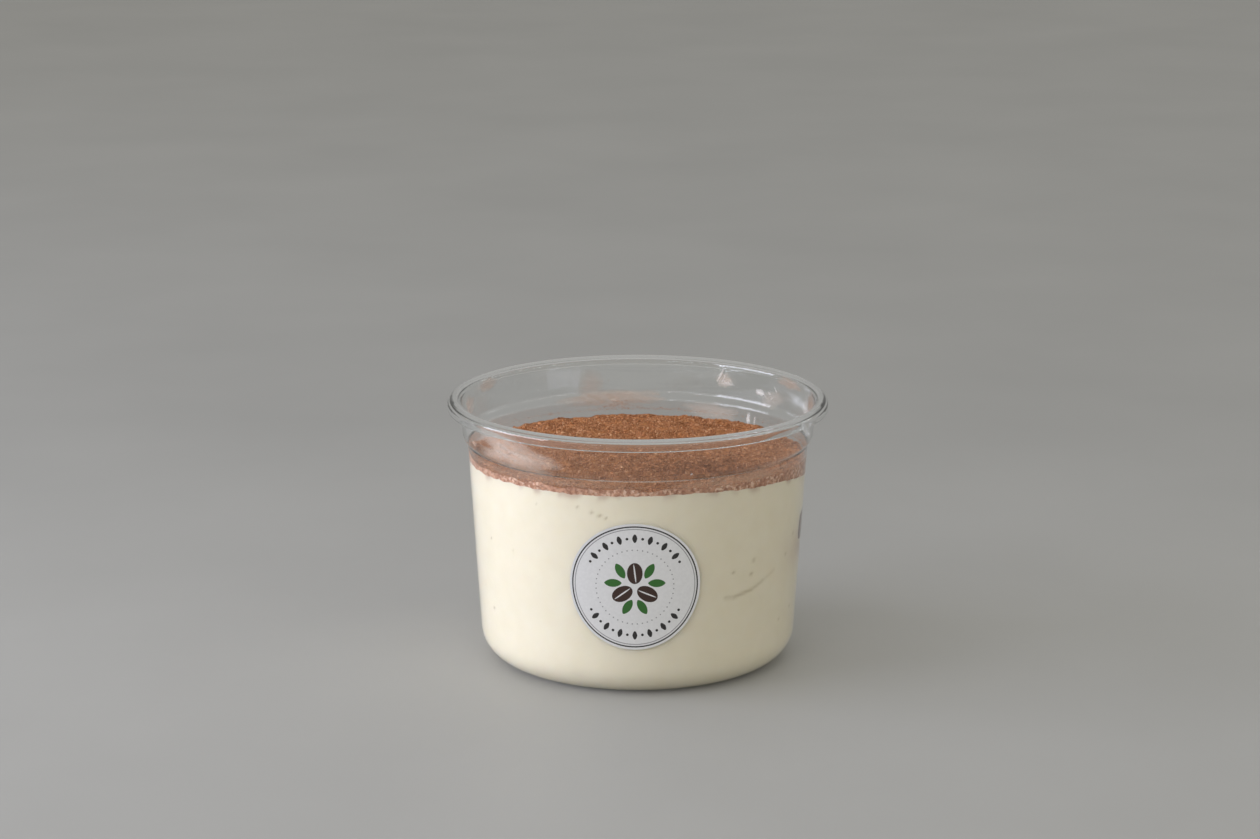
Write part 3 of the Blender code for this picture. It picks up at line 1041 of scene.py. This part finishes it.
def printed_sheet():
    """The flat sticker, cut along the outlines of the print: points, faces and each face's ink."""
    fields = sticker_design()
    rim = disc((0, 0), STICKER_RADIUS, STICKER_RADIUS, CIRCLE_SIDES)
    plan, edges = [], []
    for outline in [rim] + [outline for _, outline in fields]:
        first = len(plan)
        plan += outline.tolist()
        count = len(outline)
        edges += [(first + step, first + (step + 1) % count) for step in range(count)]
    grid = np.arange(-GRID_STEPS, GRID_STEPS + 1) * GRID_SPACING * MM
    reach = STICKER_RADIUS - GRID_MARGIN
    plan += [(x, y) for x in grid for y in grid if math.hypot(x, y) < reach]
    places = [Vector(point) for point in plan]
    flat, _, faces, *_ = geometry.delaunay_2d_cdt(places, edges, [], 0, 1e-8)
    flat = np.array(flat)
    faces = np.array([list(face) for face in faces])
    middles = flat[faces].mean(axis=1)
    inks = np.zeros(len(faces), np.int32)
    for ink, outline in fields:
        inks[inside_outline(outline, middles)] = ink
    return flat, faces, inks


def make_sticker():
    """The sheet bent to the wall, with a back and an edge."""
    flat, faces, inks = printed_sheet()

    def bent(lift):
        angle = STICKER_AT + flat[:, 0] / wall_radius(STICKER_HEIGHT)
        height = STICKER_HEIGHT + flat[:, 1]
        return around(angle, wall_radius(height) + lift, height)

    front, back = bent(LAYER_STEP + STICKER_THICKNESS), bent(LAYER_STEP)
    ends = np.concatenate([faces[:, [0, 1]], faces[:, [1, 2]], faces[:, [2, 0]]])
    known = set(map(tuple, ends.tolist()))
    border = [edge for edge in known if edge[::-1] not in known]
    shift = len(flat)
    closed = faces.tolist() + (faces[:, ::-1] + shift).tolist()
    closed += [[end, start, start + shift, end + shift] for start, end in sorted(border)]
    materials = [
        printed("sticker_paper", (0.72, 0.72, 0.73), 0.5),
        printed("dark_ink", (0.022, 0.02, 0.02)),
        printed("grey_ink", (0.30, 0.30, 0.31)),
        printed("bean_ink", (0.040, 0.018, 0.012)),
        printed("leaf_ink", (0.030, 0.135, 0.022)),
    ]
    points = np.concatenate([front, back])
    sticker = piece("paper_sticker", points, closed, materials, crease=50)
    indices = np.zeros(len(closed), np.int32)
    indices[: len(inks)] = inks
    sticker.data.polygons.foreach_set("material_index", indices)
    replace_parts(sticker, "sticker")


# Painted shade: the floor's colour is palest up to the first of these places behind the tub, and
# darkens until the second, standing in for the light falling off.
FLOOR_PAINTED_SHADE = (20 * MM, 300 * MM)
FLOOR_REACH = 8.0


def make_floor():
    """A plain matt floor, which runs out of sight on all sides. Its colour darkens behind the tub, as
    painted shade.
    """
    finish = Finish("floor", (0.50, 0.50, 0.485), 0.6)
    tone = finish.spread(finish.noise(120 * MM, detail=4.0), *NOISE_RANGE)
    parts = finish.node("ShaderNodeSeparateXYZ")
    finish.links.new(finish.place, parts.inputs[0])
    # Painted shade: the floor's colour darkens behind the tub.
    behind = finish.spread(parts.outputs["Y"], *FLOOR_PAINTED_SHADE)
    near = finish.mix(tone, (0.455, 0.455, 0.445), (0.43, 0.43, 0.42))
    far = finish.mix(tone, (0.385, 0.385, 0.376), (0.36, 0.36, 0.352))
    finish.colour(finish.mix(behind, near, far))
    mesh = bpy.data.meshes.new("floor")
    corners = [(x * FLOOR_REACH, y * FLOOR_REACH, 0) for x, y in ((-1, -1), (1, -1), (1, 1), (-1, 1))]
    mesh.from_pydata(corners, [], [[0, 1, 2, 3]])
    mesh.materials.append(finish.material)
    floor = bpy.data.objects.new("floor", mesh)
    bpy.context.scene.collection.objects.link(floor)


# The lamps: (name, degrees from the front towards +X, degrees up, distance, size, watts, colour).
LAMPS = [
    ("key", -80, 18, 1.3, (1.1, 0.42), 9.3, (0.95, 0.975, 1.15)),
    ("key_strip", -41, 18, 1.6, (1.15, 0.075), 2.0, (0.96, 0.98, 1.08)),
    ("side", 110, 17, 1.4, (0.9, 0.04), 0.4, (0.97, 0.985, 1.0)),
    ("side_strip", 58, 17, 1.5, (1.6, 0.055), 1.6, (1.0, 0.98, 0.94)),
]
LAMP_TARGET = Vector((0, 0, 0.04))


def soft_light(name, azimuth, elevation, distance, size, watts, colour):
    """A rectangular lamp that looks at the tub's middle."""
    data = bpy.data.lights.new(name, "AREA")
    data.shape = "RECTANGLE"
    data.size, data.size_y = size
    data.energy = watts
    data.color = colour
    lamp = bpy.data.objects.new(name, data)
    flat = distance * math.cos(math.radians(elevation))
    place = around(math.radians(azimuth), flat, distance * math.sin(math.radians(elevation)))
    lamp.location = Vector(place) + LAMP_TARGET
    lamp.rotation_euler = (LAMP_TARGET - lamp.location).to_track_quat("-Z", "Y").to_euler()
    bpy.context.scene.collection.objects.link(lamp)


def make_world():
    """An even studio room, brighter on the side that the tub faces."""
    world = bpy.data.worlds.new("studio")
    world.use_nodes = True
    nodes, links = world.node_tree.nodes, world.node_tree.links
    direction = nodes.new("ShaderNodeTexCoord")
    parts = nodes.new("ShaderNodeSeparateXYZ")
    across = nodes.new("ShaderNodeMapRange")
    across.inputs["From Min"].default_value = -1
    blend = nodes.new("ShaderNodeMix")
    blend.data_type = "RGBA"
    blend.inputs[FIRST_COLOUR].default_value = ROOM_FRONT
    blend.inputs[SECOND_COLOUR].default_value = ROOM_BACK
    links.new(direction.outputs["Generated"], parts.inputs[0])
    links.new(parts.outputs["Y"], across.inputs["Value"])
    links.new(across.outputs["Result"], blend.inputs["Factor"])
    links.new(blend.outputs[MIXED_COLOUR], nodes["Background"].inputs["Color"])
    bpy.context.scene.world = world


def make_lights():
    for lamp in LAMPS:
        soft_light(*lamp)
    make_world()
    bpy.context.scene.view_settings.view_transform = "Standard"


def make_camera():
    data = bpy.data.cameras.new("camera")
    data.lens = CAMERA_LENS
    data.sensor_width = 36
    data.clip_start = 0.01
    camera = bpy.data.objects.new("camera", data)
    camera.location = CAMERA_PLACE
    camera.rotation_euler = (math.pi / 2 - CAMERA_PITCH, 0, 0)
    bpy.context.scene.collection.objects.link(camera)
    bpy.context.scene.camera = camera


make_camera()
make_lights()
make_floor()
make_tub()
make_cream()
make_sponge()
make_cocoa()
make_grains()
make_dust()
make_films()
make_sticker()
